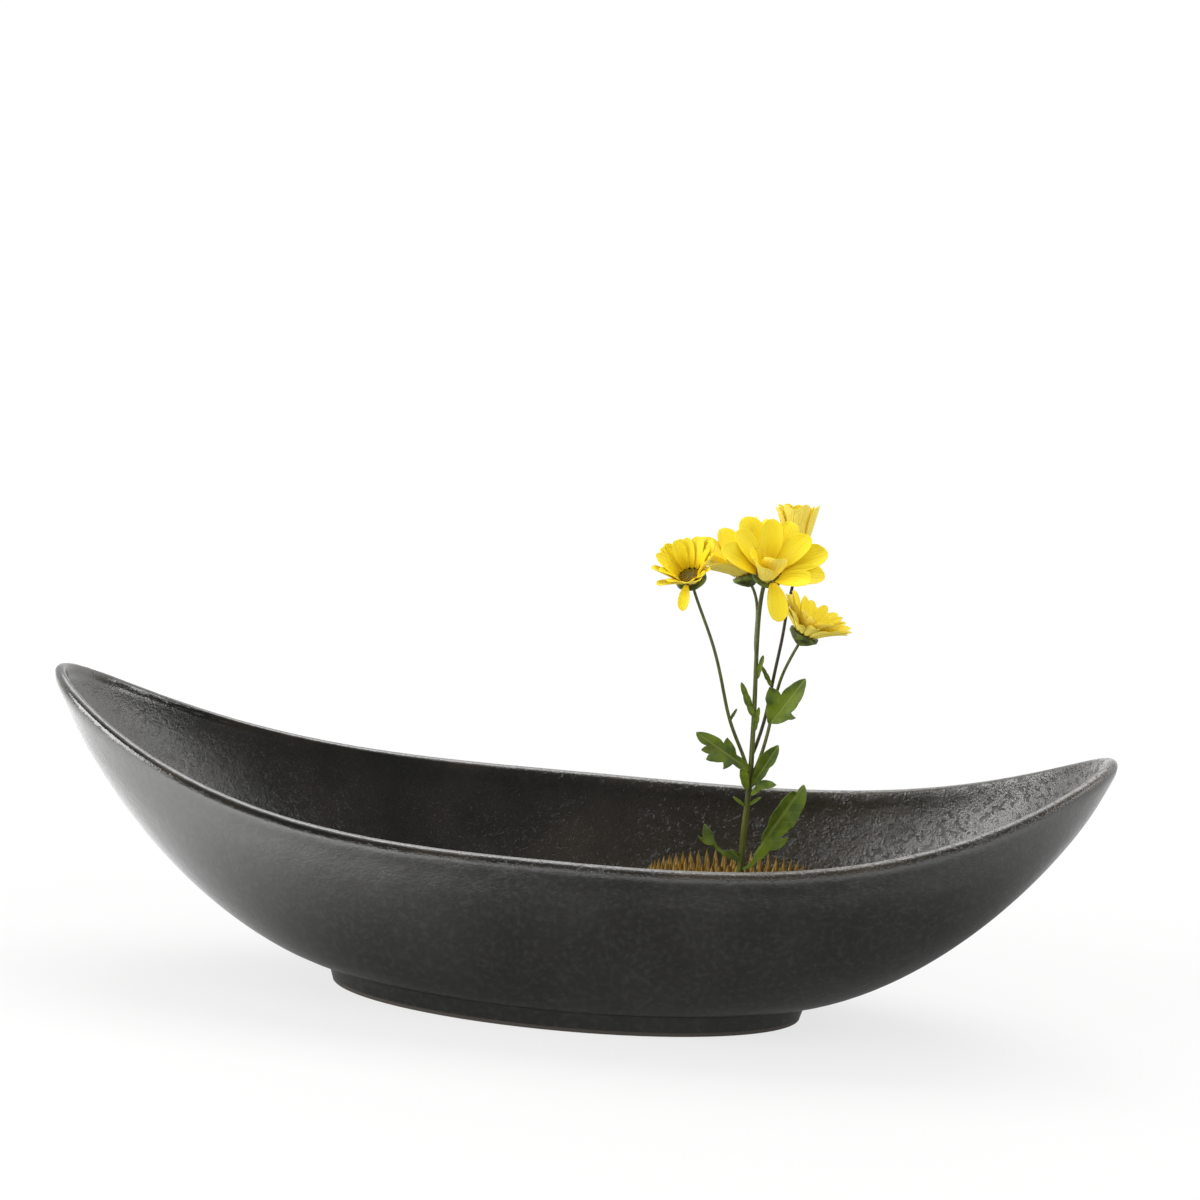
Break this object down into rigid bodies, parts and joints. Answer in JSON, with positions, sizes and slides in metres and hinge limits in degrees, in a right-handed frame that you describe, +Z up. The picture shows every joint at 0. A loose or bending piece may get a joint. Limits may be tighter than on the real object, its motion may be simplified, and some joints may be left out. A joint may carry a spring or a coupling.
{
  "type": "ikebana suiban",
  "caption": "Boat-shaped stoneware ikebana bowl with a round brass pin holder in a rubber ring on its floor and a cut spray of yellow daisies between the pins.",
  "frame": {"origin": "on the table under the middle of the bowl's foot", "axes": "+Z up, +X along the bowl towards the end that holds the pin holder, +Y across it, away from the picture's camera"},
  "size_m": [0.29, 0.0892, 0.1419],
  "materials": {
    "stoneware": "matte",
    "ring_rubber": "satin",
    "plate_metal": "satin",
    "pin_brass": "satin",
    "stem_green": "matte",
    "stalk_dark": "matte",
    "leaf_green": "matte",
    "calyx_green": "matte",
    "disc_olive": "matte",
    "petal_yellow": "matte"
  },
  "bodies": {
    "bowl": {"suiban_bowl": "stoneware"},
    "ring": {"kenzan_ring": "ring_rubber"},
    "frog": {"kenzan_base": "plate_metal", "kenzan_pins": "pin_brass"},
    "spray": {"stem_main": "stem_green", "stalk_left": "stem_green", "stalk_centre": "stem_green", "stalk_back": "stalk_dark", "stalk_right": "stem_green", "leaf_right_upper": "leaf_green", "leaf_left_middle": "leaf_green", "leaf_right_lower": "leaf_green", "leaf_left_lower": "leaf_green", "leaf_right_middle": "leaf_green", "leaf_on_stem": "leaf_green", "leaf_right_small": "leaf_green", "bracts": "leaf_green", "bloom_left_calyx": "calyx_green", "bloom_left_disc": "disc_olive", "bloom_left_petals": "petal_yellow", "bloom_centre_calyx": "calyx_green", "bloom_centre_disc": "disc_olive", "bloom_centre_petals": "petal_yellow", "bloom_front_calyx": "calyx_green", "bloom_front_disc": "disc_olive", "bloom_front_petals": "petal_yellow", "bloom_back_calyx": "calyx_green", "bloom_back_disc": "disc_olive", "bloom_back_petals": "petal_yellow", "bloom_lower_calyx": "calyx_green", "bloom_lower_disc": "disc_olive", "bloom_lower_petals": "petal_yellow"}
  },
  "joints": [
    {"name": "kenzan_lift", "type": "slide", "parent": "bowl", "child": "ring", "axis": [0, 0, 1], "range_m": [0, 0.107]},
    {"name": "plate_lift", "type": "slide", "parent": "ring", "child": "frog", "axis": [0, 0, 1], "range_m": [0, 0.012]},
    {"name": "spray_lift", "type": "slide", "parent": "frog", "child": "spray", "axis": [0, 0, 1], "range_m": [0, 0.02]}
  ]
}
